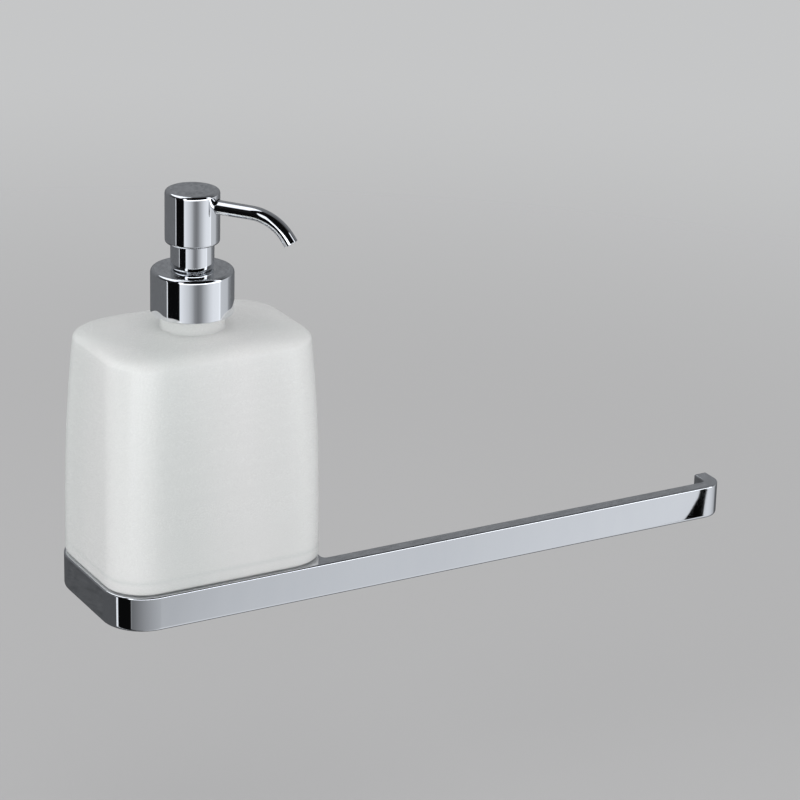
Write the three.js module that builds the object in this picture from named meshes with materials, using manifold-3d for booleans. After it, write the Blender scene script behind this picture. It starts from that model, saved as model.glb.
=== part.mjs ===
// Soap dispenser on a wall bracket that runs on as a towel rail.
// Millimetres. X runs along the wall, Y into the wall and Z up. The wall's surface is the plane Y = 0, and the
// origin is the middle of the mounting plate's back face.
import * as THREE from "three";
import { mergeVertices } from "three/addons/utils/BufferGeometryUtils.js";
import Module from "manifold-3d";

const wasm = await Module();
wasm.setup();

// ---- Driving dimensions ----

const touch = 0.3; // gap between pieces that rest on, hold or screw into one another
const running = 0.8; // gap round a piece that slides or turns with room to spare

const bottleWidth = 101;
const bottleDepth = 73;
const bottleHeight = 100.3; // from the ledge that rests on the frame up to where the shoulder starts to turn in
const bottleCorner = 17; // radius of the upright edges at the ledge
const crownCorner = 28; // and of the outline where the flat top begins
const bottleWall = 3.5;
const bottleDraft = 2.6; // how far each side leans in by the top
const draftPower = 2.6; // 1 leans evenly, and more keeps the lean for the upper part
const ledgeRounding = 2.5;
const ledgeThickness = 6; // glass over the ledge at the inner side
const shoulderReach = 9.5; // how far the shoulder's rounding comes in
const shoulderRise = 4.6; // how high it goes
const crownRise = 0.8; // what is left of the rise, up to the neck
const footHeight = 12; // the narrower foot that drops into the frame
const footRounding = 2;
const footHollow = 1; // depth of the hollow under the foot
const footHollowReach = 0.7; // its half width over the foot's
const floorThickness = 5;
const floorSlope = 4; // width and height of the slope round the floor inside
const neckFillet = 3;
const neckShow = 6.7; // plain glass between the shoulder and the collar
const neckStep = 0.4; // how far the plain neck stands outside the thread
const neckWall = 3.1;
const finishRadius = 12.6; // the threaded stretch
const finishHeight = 10.3;
const threadDepth = 1;
const threadPitch = 3.2;

const barHeight = 16;
const barThickness = 6.5;
const barOverhang = 1; // how far the bar's outer face stands outside the bottle
const barLength = 310;
const barEdge = 1; // rounding of the bar's long edges
const endInnerCorner = 2.5; // inner radius of the bend at the rail's end
const returnLength = 16;
const crossbarThickness = 4;
const webFillet = 2;
const seatClearance = 0.8; // round the bottle's foot

const standoff = 12; // from the wall to the frame
const blockFront = 3.2;
const blockWall = 6; // round the plate's pocket
const blockCorner = 4;
const plateWidth = 48;
const plateHeight = 26;
const plateThickness = 5;
const plateCorner = 3;
const wallScrewInset = 9; // from the plate's end
const wallScrewRadius = 2;
const wallScrewLength = 38;
const plugWall = 1.2;
const plugLength = 30.8;
const plugRecess = 2.2; // how far the plug is tapped in below the wall's surface
const lockScrewRadius = 1.5;
const lockSocketRadius = 0.75;
const lockSocketDepth = 2;
const frameScrewInset = 12; // from the block's end
const frameScrewRadius = 2;
const headFlare = 2.1; // a countersunk head's radius over its shank's

const topPlate = 1.5; // thickness of the collar's and the closure's tops, and of the flanges between them
const collarWall = 1.2;
const collarRounding = 1.8;
const closureWall = 2.6;
const closureInset = 0.8; // how far the closure ends above the collar's lower edge
const flangeOverhang = 0.6; // the pump's flange over the neck's finish, and holes over the pump's body
const sleeveRoom = 0.4;
const sleeveWall = 2.4;
const sleeveFoot = 1.4; // rounding at the sleeve's foot
const sleeveFlange = 2.6;
const sleeveChamfer = 0.5;
const sleeveEntry = 1.3; // how far the sleeve stands in the head at rest
const headWall = 1.6;
const headRounding = 1.8;
const headFoot = 1.2; // rounding of the head's lower edge
const headRest = 1.8; // left between the collar and the pressed head
const pressTravel = 10;

const spoutRadius = 2.9;
const spoutBore = 2;
const spoutDrop = 6.5; // from the head's top down to the spout's axis
const spoutHeading = 40; // degrees from straight out of the wall towards +X
const spoutFall = 1.7; // degrees by which the straight run falls
const spoutRun = 27.2; // where the bend starts, from the pump's axis
const spoutBend = 21; // radius of the bend
const spoutTurn = 55; // degrees below level at the mouth
const spoutTip = 3.2;
const spoutEntry = 2; // from the stem's outside to the spout's inner end

const housingRoom = 1.5; // between the pump's body and the neck
const housingWall = 1.4;
const cupFloor = 1;
const socketWall = 1.3;
const socketDepth = 10;
const ballSeat = 1.2;
const seatThickness = 1;
const inletBallRadius = 2;
const outletBallRadius = 1.6;
const ballRoom = 0.9;
const stemRadius = 3.6;
const stemBore = 2.2;
const stemFlange = 3; // height of the stem's lower flange
const stemFlangeRoom = 1.6;
const pistonHeight = 8;
const dipRadius = 3;
const dipBore = 2;
const dipClear = 3; // between the dip tube and the bottle's floor
const springRoom = 16.7; // height left for the pressed spring
const springSide = 1.5; // from the middle of the wire to the bore
const springWire = 0.5;
const springTurns = 7;

// ---- Places that follow from them ----

const layer = topPlate + touch;
const neckRadius = finishRadius + threadDepth + neckStep;
const neckBore = finishRadius - neckWall;
const closureBore = finishRadius + threadDepth + touch;
const closureRadius = closureBore + closureWall;
const collarRadius = closureRadius + touch + collarWall;
const collarHeight = finishHeight + 5 * layer;
const housingRadius = neckBore - housingRoom;
const housingBore = housingRadius - housingWall;
const flangeRadius = finishRadius + flangeOverhang;
const bodyHole = housingRadius + flangeOverhang;
const sleeveBore = housingBore + sleeveRoom;
const sleeveRadius = sleeveBore + sleeveWall;
const headBore = sleeveRadius + running;
const headRadius = headBore + headWall;
const coreHeight = 2 * (spoutDrop - headWall - touch);
const headHeight = headWall + touch + coreHeight + pressTravel + running + sleeveEntry;
const headGap = pressTravel + headRest;
const socketRadius = dipRadius + touch + socketWall;
const springRadius = housingBore - springSide;
const plugRadius = wallScrewRadius + touch + plugWall;

const frameCorner = bottleCorner + 2 * barOverhang;
const endCorner = barThickness + endInnerCorner;
const backY = -standoff;
const frontY = backY - bottleDepth - 2 * barOverhang;
const axisY = (backY + frontY) / 2;
const leftX = -bottleWidth / 2 - barOverhang;
const endX = leftX + barLength;
const seatHalfWidth = -leftX - barThickness;
const seatHalfDepth = (backY - frontY) / 2 - barThickness;
const seatCorner = frameCorner - barThickness;
const crossbarX = seatHalfWidth + crossbarThickness;
const blockWidth = plateWidth + 2 * blockWall;
const blockHeight = plateHeight + 2 * blockWall;
const wallScrewX = plateWidth / 2 - wallScrewInset;
const lockScrewX = plateWidth / 4;
const frameScrewX = blockWidth / 2 - frameScrewInset;

const frameTop = barHeight / 2;
const ledgeZ = frameTop + touch;
const footZ = ledgeZ - footHeight;
const floorZ = footZ + floorThickness;
const shoulderZ = ledgeZ + bottleHeight;
const neckZ = shoulderZ + shoulderRise + crownRise;
const collarZ = neckZ + neckShow;
const collarTop = collarZ + collarHeight;
const sleeveFlangeTop = collarTop - layer;
const closureTop = sleeveFlangeTop - layer;
const flangeTop = closureTop - layer;
const gasketTop = flangeTop - layer;
const rimZ = gasketTop - layer;
const headZ = collarTop + headGap;
const headTop = headZ + headHeight;
const spoutZ = headTop - spoutDrop;
const coreTop = headTop - headWall - touch;
const coreZ = coreTop - coreHeight;
const sleeveTop = headZ + sleeveEntry;
const capZ = flangeTop - 4 * topPlate;
const capBore = stemRadius + touch;
const pistonTop = capZ - touch;
const pistonZ = pistonTop - pistonHeight;
const stemZ = pistonZ - stemFlange;
const cupBottom = stemZ - pressTravel - springRoom; // the spring's seat
const cupZ = cupBottom - cupFloor;
const chamberZ = cupZ - 2 * inletBallRadius;
const valveZ = chamberZ - 1.5 * inletBallRadius;
const housingZ = valveZ - socketDepth;

// ---- Making solids ----

const roundSteps = 28;
const screwSteps = 20;
const boreSteps = 16;

function closedRing(points) {
  const first = points[0];
  return first.x > 0 ? [...points, first.clone()] : points;
}

// A turned piece about Z from its half section, given as [radius, height] pairs in either direction.
function turned(section, steps = roundSteps) {
  const points = section.map(([radius, height]) => new THREE.Vector2(radius, height));
  if (THREE.ShapeUtils.area(points) < 0) points.reverse();
  return new THREE.LatheGeometry(closedRing(points), steps).rotateX(Math.PI / 2);
}

function tube(outer, inner, low, high, steps) {
  return turned([[inner, low], [outer, low], [outer, high], [inner, high]], steps);
}

function rod(radius, low, high, steps) {
  return turned([[0, low], [radius, low], [radius, high], [0, high]], steps);
}

// Points of a quarter arc, from one angle to another, in degrees.
function arc(centreR, centreZ, radiusR, radiusZ, from, to, steps = 3) {
  return Array.from({ length: steps + 1 }, (_, i) => {
    const angle = THREE.MathUtils.degToRad(from + ((to - from) * i) / steps);
    return [centreR + radiusR * Math.cos(angle), centreZ + radiusZ * Math.sin(angle)];
  });
}

function roundedRectangle(halfWidth, halfHeight, radius, Kind = THREE.Shape) {
  const x = halfWidth - radius;
  const y = halfHeight - radius;
  const quarter = Math.PI / 2;
  return new Kind()
    .absarc(x, y, radius, 0, quarter)
    .absarc(-x, y, radius, quarter, 2 * quarter)
    .absarc(-x, -y, radius, 2 * quarter, 3 * quarter)
    .absarc(x, -y, radius, 3 * quarter, 4 * quarter)
    .closePath();
}

// A plate with round corners that stands on the wall, seen along Y, between two depths.
function uprightPlate(width, height, radius, fromY, toY) {
  const outline = roundedRectangle(width / 2, height / 2, radius);
  return new THREE.ExtrudeGeometry(outline, { depth: toY - fromY, bevelEnabled: false, curveSegments: 3 })
    .rotateX(Math.PI / 2)
    .translate(0, toY, 0);
}

function toSolid(geometry) {
  const bare = geometry.clone();
  bare.deleteAttribute("normal");
  bare.deleteAttribute("uv");
  const merged = mergeVertices(bare);
  return new wasm.Manifold(
    new wasm.Mesh({
      numProp: 3,
      vertProperties: new Float32Array(merged.attributes.position.array),
      triVerts: new Uint32Array(merged.index.array),
    }),
  );
}

function toGeometry(solid) {
  const mesh = solid.getMesh();
  return new THREE.BufferGeometry()
    .setAttribute("position", new THREE.BufferAttribute(mesh.vertProperties, 3))
    .setIndex(new THREE.BufferAttribute(mesh.triVerts, 1))
    .toNonIndexed();
}

function cut(body, ...tools) {
  return toGeometry(tools.reduce((solid, tool) => solid.subtract(toSolid(tool)), toSolid(body)));
}

// ---- Materials ----

const finish = (color, roughness, metalness = 0, more = {}) => () =>
  new THREE.MeshStandardMaterial({ color, roughness, metalness, ...more });

const chrome = finish(0xd8dbe0, 0.06, 1);
const steel = finish(0xb8bbbe, 0.3, 1);
const satinGlass = finish(0xe4e9e6, 0.55, 0, { transparent: true, opacity: 0.85 });
const whitePlastic = finish(0xe9e9e6, 0.45);
const clearPlastic = finish(0xe6ecef, 0.25, 0, { transparent: true, opacity: 0.6 });
const plugPlastic = finish(0x9a9c9e, 0.6);
const rubber = finish(0x3a3b3d, 0.8);

const dispenser = new THREE.Group();

function add(name, geometry, material, x = 0, y = 0, z = 0) {
  geometry.computeVertexNormals();
  const mesh = new THREE.Mesh(geometry, material());
  mesh.name = name;
  mesh.position.set(x, y, z);
  dispenser.add(mesh);
}

const onAxis = (name, geometry, material) => add(name, geometry, material, 0, axisY);

const sides = [["left", -1], ["right", 1]];

// ---- Screws ----

// A countersunk screw along +Y with its head's flat face at y = 0 and a cross recess.
function countersunkScrew(shank, length) {
  const head = shank + headFlare;
  const body = turned([[0, 0], [head, 0], [shank, headFlare], [shank, length - shank], [0, length]], screwSteps);
  const arm = new THREE.BoxGeometry(1.4 * shank, 0.5 * shank, shank);
  return cut(body, arm, arm.clone().rotateZ(Math.PI / 2)).rotateX(-Math.PI / 2);
}

// What a countersunk screw with that shank needs cut out, along +Y from y = 0.
function countersunkHole(shank, length) {
  const bore = shank + touch;
  const mouth = bore + headFlare;
  return turned(
    [[0, -1], [mouth, -1], [mouth, touch], [bore, headFlare + touch], [bore, length], [0, length]],
    screwSteps,
  ).rotateX(-Math.PI / 2);
}

// ---- Bracket frame: one flat bar, seen from above, with the seat for the bottle's foot ----

function frameOutline() {
  const half = Math.PI / 2;
  const innerEnd = endCorner - barThickness;
  const railBack = frontY + barThickness;
  const crossCorner = seatCorner + crossbarThickness;
  const outline = new THREE.Shape()
    .moveTo(leftX, backY - frameCorner)
    .lineTo(leftX, frontY + frameCorner)
    .absarc(leftX + frameCorner, frontY + frameCorner, frameCorner, 2 * half, 3 * half)
    .lineTo(endX - endCorner, frontY)
    .absarc(endX - endCorner, frontY + endCorner, endCorner, 3 * half, 4 * half)
    .lineTo(endX, frontY + returnLength)
    .lineTo(endX - barThickness, frontY + returnLength)
    .lineTo(endX - barThickness, railBack + innerEnd)
    .absarc(endX - endCorner, railBack + innerEnd, innerEnd, 0, -half, true)
    .lineTo(crossbarX + webFillet, railBack)
    .absarc(crossbarX + webFillet, railBack + webFillet, webFillet, -half, -2 * half, true)
    .lineTo(crossbarX, backY - crossCorner)
    .absarc(crossbarX - crossCorner, backY - crossCorner, crossCorner, 0, half)
    .lineTo(leftX + frameCorner, backY)
    .absarc(leftX + frameCorner, backY - frameCorner, frameCorner, half, 2 * half);
  const seat = roundedRectangle(seatHalfWidth, seatHalfDepth, seatCorner, THREE.Path);
  outline.holes.push(new THREE.Path(seat.getPoints(5).map((p) => p.add(new THREE.Vector2(0, axisY)))));
  return outline;
}

function bracketFrame() {
  const bar = new THREE.ExtrudeGeometry(frameOutline(), {
    depth: barHeight - 2 * barEdge,
    bevelThickness: barEdge,
    bevelSize: barEdge,
    bevelOffset: -barEdge,
    bevelSegments: 2,
    curveSegments: 5,
  }).translate(0, 0, barEdge - barHeight / 2);
  const holes = sides.map(([, side]) =>
    countersunkHole(frameScrewRadius, 2 * barThickness).translate(
      side * frameScrewX,
      backY - barThickness,
      0,
    ),
  );
  return cut(bar, ...holes);
}

add("bracket_frame", bracketFrame(), chrome);

// ---- Wall fixing ----

function wallBlock() {
  const frontFace = backY + touch;
  const pocketFront = frontFace + blockFront;
  const pocketRoom = 2 * touch;
  const body = uprightPlate(blockWidth, blockHeight, blockCorner, frontFace, -touch);
  const pocket = uprightPlate(plateWidth + pocketRoom, plateHeight + pocketRoom, plateCorner, pocketFront, 1);
  const lockBores = sides.map(([, side]) =>
    rod(lockScrewRadius + touch, -blockHeight, 0, boreSteps).translate(
      side * lockScrewX,
      -plateThickness / 2,
      0,
    ),
  );
  const frameBores = sides.map(([, side]) =>
    rod(frameScrewRadius + touch, -standoff, 0, screwSteps)
      .rotateX(-Math.PI / 2)
      .translate(side * frameScrewX, 0, 0),
  );
  return cut(body, pocket, ...lockBores, ...frameBores);
}

function mountingPlate() {
  const body = uprightPlate(plateWidth, plateHeight, plateCorner, -plateThickness, 0);
  const holes = sides.map(([, side]) =>
    countersunkHole(wallScrewRadius, 2 * plateThickness).translate(
      side * wallScrewX,
      -plateThickness,
      0,
    ),
  );
  return cut(body, ...holes);
}

add("wall_block", wallBlock(), chrome);
add("mounting_plate", mountingPlate(), steel);
for (const [name, side] of sides) {
  const wallX = side * wallScrewX;
  const lockX = side * lockScrewX;
  const frameX = side * frameScrewX;
  const plug = tube(plugRadius, wallScrewRadius + touch, 0, plugLength, boreSteps).rotateX(-Math.PI / 2);
  const lockLength = blockWall - touch;
  const lockScrew = cut(
    rod(lockScrewRadius, 0, lockLength, boreSteps),
    rod(lockSocketRadius, -1, lockSocketDepth, 6),
  );
  const frameScrewLength = barThickness + touch + blockFront + touch;
  add(`wall_screw_${name}`, countersunkScrew(wallScrewRadius, wallScrewLength), steel, wallX, -plateThickness);
  add(`wall_plug_${name}`, plug, plugPlastic, wallX, plugRecess);
  add(`lock_screw_${name}`, lockScrew, steel, lockX, -plateThickness / 2, -blockHeight / 2);
  add(
    `frame_screw_${name}`,
    countersunkScrew(frameScrewRadius, frameScrewLength),
    steel,
    frameX,
    backY - barThickness,
  );
}

// ---- Glass bottle: turned round the neck's axis, then squared below the neck ----

const crownHalfWidth = bottleWidth / 2 - bottleDraft - shoulderReach;

// Where a ray from the middle at an angle leaves a rounded rectangle.
function rectangleReach(angle, halfWidth, halfDepth, corner) {
  const radius = Math.min(corner, halfWidth, halfDepth);
  const dx = Math.abs(Math.cos(angle));
  const dy = Math.abs(Math.sin(angle));
  const sideX = halfWidth - radius;
  const sideY = halfDepth - radius;
  if (dy * halfWidth <= sideY * dx) return halfWidth / dx;
  if (dx * halfDepth <= sideX * dy) return halfDepth / dy;
  const along = dx * sideX + dy * sideY;
  return along + Math.sqrt(along * along - sideX * sideX - sideY * sideY + radius * radius);
}

// How far the section of half width x reaches at an angle. It is round up to the neck's radius, square from
// the crown outwards, and changes evenly in between. The corners grow rounder towards the crown.
function bottleReach(angle, x) {
  const difference = (bottleWidth - bottleDepth) / 2;
  if (x <= neckRadius) return x;
  if (x >= crownHalfWidth) {
    const outward = (x - crownHalfWidth) / (bottleWidth / 2 - crownHalfWidth);
    return rectangleReach(angle, x, x - difference, THREE.MathUtils.lerp(crownCorner, bottleCorner, outward));
  }
  const share = (x - neckRadius) / (crownHalfWidth - neckRadius);
  const halfDepth = THREE.MathUtils.lerp(neckRadius, crownHalfWidth - difference, share);
  return rectangleReach(angle, x, halfDepth, THREE.MathUtils.lerp(neckRadius, crownCorner, share));
}

// The side of the bottle, as half widths at heights, set in by a wall's thickness.
function sideProfile(inset, steps) {
  return Array.from({ length: steps + 1 }, (_, i) => {
    const share = i / steps;
    const lean = bottleDraft * Math.pow(share, draftPower);
    return [bottleWidth / 2 - inset - lean, THREE.MathUtils.lerp(ledgeZ + ledgeRounding, shoulderZ, share)];
  });
}

function shoulderProfile(inset) {
  const start = bottleWidth / 2 - bottleDraft;
  return arc(start - shoulderReach, shoulderZ, shoulderReach - inset, shoulderRise - inset, 0, 90, 5).slice(1);
}

function bottleSection() {
  const footHalf = seatHalfWidth - seatClearance;
  const outer = bottleWidth / 2;
  const hollow = footHalf * footHollowReach;
  const rise = threadPitch / 4;
  const thread = [2, 1].flatMap((turn) => {
    const low = rimZ - touch - turn * threadPitch + 2 * rise;
    return [[finishRadius, low], [finishRadius + threadDepth, low + rise], [finishRadius, low + 2 * rise]];
  });
  const outside = [
    [0, footZ + footHollow],
    [hollow, footZ + footHollow],
    [hollow + 2 * footHollow, footZ],
    ...arc(footHalf - footRounding, footZ + footRounding, footRounding, footRounding, -90, 0, 3),
    [footHalf, ledgeZ],
    ...arc(outer - ledgeRounding, ledgeZ + ledgeRounding, ledgeRounding, ledgeRounding, -90, -20, 3),
    ...sideProfile(0, 5),
    ...shoulderProfile(0),
    [neckRadius + neckFillet, neckZ - crownRise / 2],
    [neckRadius, neckZ + neckFillet / 2],
    [neckRadius, collarZ],
    [finishRadius, collarZ + neckStep],
    ...thread,
    [finishRadius, rimZ],
  ];
  const inside = [
    [0, floorZ],
    [footHalf - bottleWall - floorSlope, floorZ],
    [footHalf - bottleWall, floorZ + floorSlope],
    [footHalf - bottleWall, ledgeZ],
    [outer - bottleWall, ledgeZ + ledgeThickness],
    ...sideProfile(bottleWall, 3).slice(1),
    ...shoulderProfile(bottleWall),
    [neckBore + neckFillet, neckZ - bottleWall],
    [neckBore, neckZ],
    [neckBore, rimZ],
  ];
  return [...outside, ...inside.reverse()];
}

function bottle() {
  const geometry = turned(bottleSection(), 48);
  const position = geometry.attributes.position;
  for (let i = 0; i < position.count; i += 1) {
    const x = position.getX(i);
    const y = position.getY(i);
    const radius = Math.hypot(x, y);
    const stretch = radius > 0 ? bottleReach(Math.atan2(y, x), radius) / radius : 1;
    position.setXY(i, x * stretch, y * stretch);
  }
  return geometry;
}

onAxis("bottle", bottle(), satinGlass);

// ---- Collar, threaded closure and sleeve ----

const sleeveNeck = sleeveRadius - sleeveFoot; // where the sleeve passes through the collar's top
onAxis(
  "collar_shell",
  turned([
    [collarRadius - collarWall, collarZ],
    [collarRadius, collarZ],
    ...arc(collarRadius - collarRounding, collarTop - collarRounding, collarRounding, collarRounding, 0, 90),
    [sleeveNeck + touch, collarTop],
    [sleeveNeck + touch, collarTop - topPlate],
    [collarRadius - collarWall, collarTop - topPlate],
  ]),
  chrome,
);

onAxis(
  "closure_insert",
  turned([
    [closureBore, collarZ + closureInset],
    [closureRadius, collarZ + closureInset],
    [closureRadius, closureTop],
    [bodyHole, closureTop],
    [bodyHole, closureTop - topPlate],
    [closureBore, closureTop - topPlate],
  ]),
  whitePlastic,
);

onAxis(
  "guide_sleeve",
  turned([
    [sleeveBore, sleeveFlangeTop - topPlate],
    [sleeveRadius + sleeveFlange, sleeveFlangeTop - topPlate],
    [sleeveRadius + sleeveFlange, sleeveFlangeTop],
    [sleeveNeck, sleeveFlangeTop],
    [sleeveNeck, collarTop + touch],
    ...arc(sleeveNeck, collarTop + touch + sleeveFoot, sleeveFoot, sleeveFoot, -90, 0).slice(1),
    [sleeveRadius, sleeveTop - sleeveChamfer],
    [sleeveRadius - sleeveChamfer, sleeveTop],
    [sleeveBore, sleeveTop],
  ]),
  chrome,
);

onAxis("neck_gasket", tube(finishRadius, housingRadius + touch, rimZ + touch, gasketTop), rubber);

// ---- Pump cylinder with the inlet valve and the dip tube ----

onAxis(
  "pump_housing",
  turned([
    [dipRadius + touch, housingZ],
    [socketRadius, housingZ],
    [socketRadius, chamberZ],
    [housingRadius, cupZ],
    [housingRadius, flangeTop - topPlate],
    [flangeRadius, flangeTop - topPlate],
    [flangeRadius, flangeTop],
    [housingBore, flangeTop],
    [housingBore, cupBottom],
    [inletBallRadius + ballRoom, chamberZ + inletBallRadius],
    [inletBallRadius + ballRoom, valveZ + seatThickness + inletBallRadius],
    [ballSeat, valveZ + seatThickness],
    [ballSeat, valveZ],
    [dipRadius + touch, valveZ],
  ]),
  clearPlastic,
);

// A ball on a 45 degree seat whose narrow end has radius ballSeat, at a height.
const ballHeight = (radius, seatZ) => seatZ - ballSeat + (radius + touch / 2) * Math.SQRT2;

function ball(radius, seatZ) {
  return new THREE.SphereGeometry(radius, 12, 8).rotateX(Math.PI / 2).translate(0, 0, ballHeight(radius, seatZ));
}

onAxis("inlet_ball", ball(inletBallRadius, valveZ + seatThickness), steel);
onAxis("dip_tube", tube(dipRadius, dipBore, floorZ + dipClear, valveZ - touch, boreSteps), clearPlastic);

// ---- Plunger: piston, stem, outlet valve and return spring ----

const stemSeatZ = stemZ + 2 * seatThickness;
const stemTop = spoutZ - spoutRadius + spoutBore;
const stemFlangeRadius = housingBore - stemFlangeRoom;
onAxis("piston", tube(housingBore - touch, stemRadius + touch, pistonZ, pistonTop), whitePlastic);
onAxis(
  "stem",
  turned([
    [ballSeat, stemZ],
    [stemFlangeRadius, stemZ],
    [stemFlangeRadius, pistonZ - touch],
    [stemRadius, pistonZ - touch],
    [stemRadius, stemTop],
    [stemBore, stemTop],
    [stemBore, stemSeatZ + stemBore - ballSeat],
    [ballSeat, stemSeatZ],
  ]),
  whitePlastic,
);
onAxis("outlet_ball", ball(outletBallRadius, stemSeatZ), steel);

onAxis(
  "housing_cap",
  turned([
    [capBore, capZ],
    [housingBore - touch, capZ],
    [housingBore - touch, flangeTop + touch],
    [housingRadius, flangeTop + touch],
    [housingRadius, closureTop],
    [housingBore - flangeOverhang, closureTop],
    [housingBore - flangeOverhang, collarTop],
    [capBore, collarTop],
  ]),
  whitePlastic,
);

class Helix extends THREE.Curve {
  constructor(radius, low, high, turns) {
    super();
    Object.assign(this, { radius, low, high, turns });
  }
  getPoint(t, target = new THREE.Vector3()) {
    const angle = 2 * Math.PI * this.turns * t;
    return target.set(
      this.radius * Math.cos(angle),
      this.radius * Math.sin(angle),
      THREE.MathUtils.lerp(this.low, this.high, t),
    );
  }
}

function spring() {
  const low = cupBottom + springWire + touch;
  const high = stemZ - springWire - touch;
  const wire = new THREE.Shape().absarc(0, 0, springWire, 0, 2 * Math.PI);
  return new THREE.ExtrudeGeometry(wire, {
    steps: 10 * springTurns,
    curveSegments: 3,
    bevelEnabled: false,
    extrudePath: new Helix(springRadius, low, high, springTurns),
  });
}

onAxis("return_spring", spring(), steel);

// ---- Head: shell, core and spout ----

const heading = THREE.MathUtils.degToRad(spoutHeading);
const outward = new THREE.Vector3(Math.sin(heading), -Math.cos(heading), 0);
const spoutStart = stemRadius + spoutEntry;

// The spout's centre line in its own upright plane, as distance from the axis and height.
class SpoutLine extends THREE.Curve {
  getPoint(t, target = new THREE.Vector3()) {
    const fall = THREE.MathUtils.degToRad(spoutFall);
    const mouth = THREE.MathUtils.degToRad(spoutTurn);
    const runLength = (spoutRun - spoutStart) / Math.cos(fall);
    const bendLength = spoutBend * (mouth - fall);
    const along = t * (runLength + bendLength + spoutTip);
    const onRun = Math.min(along, runLength);
    const angle = fall + Math.min(Math.max(along - runLength, 0), bendLength) / spoutBend;
    const onTip = Math.max(along - runLength - bendLength, 0);
    const bendOut = spoutBend * (Math.sin(angle) - Math.sin(fall));
    const bendDown = spoutBend * (Math.cos(fall) - Math.cos(angle));
    const out = spoutStart + onRun * Math.cos(fall) + bendOut + onTip * Math.cos(mouth);
    const down = onRun * Math.sin(fall) + bendDown + onTip * Math.sin(mouth);
    return target.copy(outward).multiplyScalar(out).setZ(spoutZ - down);
  }
}

function spout() {
  const ring = new THREE.Shape().absarc(0, 0, spoutRadius, 0, 2 * Math.PI);
  ring.holes.push(new THREE.Path().absarc(0, 0, spoutBore, 0, 2 * Math.PI, true));
  return new THREE.ExtrudeGeometry(ring, {
    steps: 16,
    curveSegments: 6,
    bevelEnabled: false,
    extrudePath: new SpoutLine(),
  });
}

// A round cutter from the axis out through the head, along the spout.
function spoutCutter(from) {
  return rod(spoutRadius + touch, from, 2 * headRadius, screwSteps)
    .rotateX(Math.PI / 2)
    .rotateZ(heading)
    .translate(0, 0, spoutZ);
}

const headShell = turned([
  [headBore, headZ],
  ...arc(headRadius - headFoot, headZ + headFoot, headFoot, headFoot, -90, 0),
  ...arc(headRadius - headRounding, headTop - headRounding, headRounding, headRounding, 0, 90),
  [0, headTop],
  [0, headTop - headWall],
  [headBore, headTop - headWall],
]);
onAxis("head_shell", cut(headShell, spoutCutter(headRadius / 2)), chrome);

const headCore = cut(
  rod(headBore - touch, coreZ, coreTop),
  rod(stemRadius + touch, coreZ - 1, stemTop + touch, screwSteps),
  rod(stemBore, coreZ, spoutZ, boreSteps),
  spoutCutter(0),
);
onAxis("head_core", headCore, whitePlastic);
onAxis("spout_tube", spout(), chrome);

export default dispenser;
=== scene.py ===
import math

import bmesh
import bpy
from mathutils import Matrix, Vector


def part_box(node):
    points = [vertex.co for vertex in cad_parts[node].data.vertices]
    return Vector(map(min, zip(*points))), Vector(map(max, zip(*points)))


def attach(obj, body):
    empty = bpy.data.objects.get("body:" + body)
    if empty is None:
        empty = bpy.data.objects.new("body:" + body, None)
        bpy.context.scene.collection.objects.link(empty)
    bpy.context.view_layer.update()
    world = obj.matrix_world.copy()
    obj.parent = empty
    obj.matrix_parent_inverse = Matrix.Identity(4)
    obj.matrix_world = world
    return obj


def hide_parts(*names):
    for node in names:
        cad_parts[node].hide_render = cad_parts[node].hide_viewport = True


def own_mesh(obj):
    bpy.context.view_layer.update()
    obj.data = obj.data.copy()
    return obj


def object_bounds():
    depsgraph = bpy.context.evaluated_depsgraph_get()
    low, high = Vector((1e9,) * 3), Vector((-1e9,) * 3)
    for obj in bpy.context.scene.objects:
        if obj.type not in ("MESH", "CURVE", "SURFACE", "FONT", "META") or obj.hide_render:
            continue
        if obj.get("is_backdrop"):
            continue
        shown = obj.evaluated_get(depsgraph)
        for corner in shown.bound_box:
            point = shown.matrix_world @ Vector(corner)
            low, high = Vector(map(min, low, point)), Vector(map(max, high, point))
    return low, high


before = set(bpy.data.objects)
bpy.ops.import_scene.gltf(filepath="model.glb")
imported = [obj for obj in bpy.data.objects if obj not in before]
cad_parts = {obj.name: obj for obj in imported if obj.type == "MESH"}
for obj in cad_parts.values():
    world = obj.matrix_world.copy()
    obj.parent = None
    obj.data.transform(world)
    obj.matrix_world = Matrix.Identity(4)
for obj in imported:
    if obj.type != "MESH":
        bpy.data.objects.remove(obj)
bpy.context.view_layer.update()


# ---- Wall plugs ----
# Two grey nylon plugs, tapped into drilled holes until they sit just under the wall's face.
# Each is a moulded sleeve with barbs round it and a slit, so that the screw can spread it.


class Socket:
    """A shader socket in sums: 1 - grain * 0.2 adds the Math nodes to the same material."""

    def __init__(self, finish, output):
        self.finish = finish
        self.output = output

    def __add__(self, other):
        return self.finish.maths("ADD", self, other)

    def __radd__(self, other):
        return self.finish.maths("ADD", other, self)

    def __sub__(self, other):
        return self.finish.maths("SUBTRACT", self, other)

    def __rsub__(self, other):
        return self.finish.maths("SUBTRACT", other, self)

    def __mul__(self, other):
        return self.finish.maths("MULTIPLY", self, other)

    def __rmul__(self, other):
        return self.finish.maths("MULTIPLY", other, self)

    def __truediv__(self, other):
        return self.finish.maths("DIVIDE", self, other)

    def __rtruediv__(self, other):
        return self.finish.maths("DIVIDE", other, self)


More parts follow.
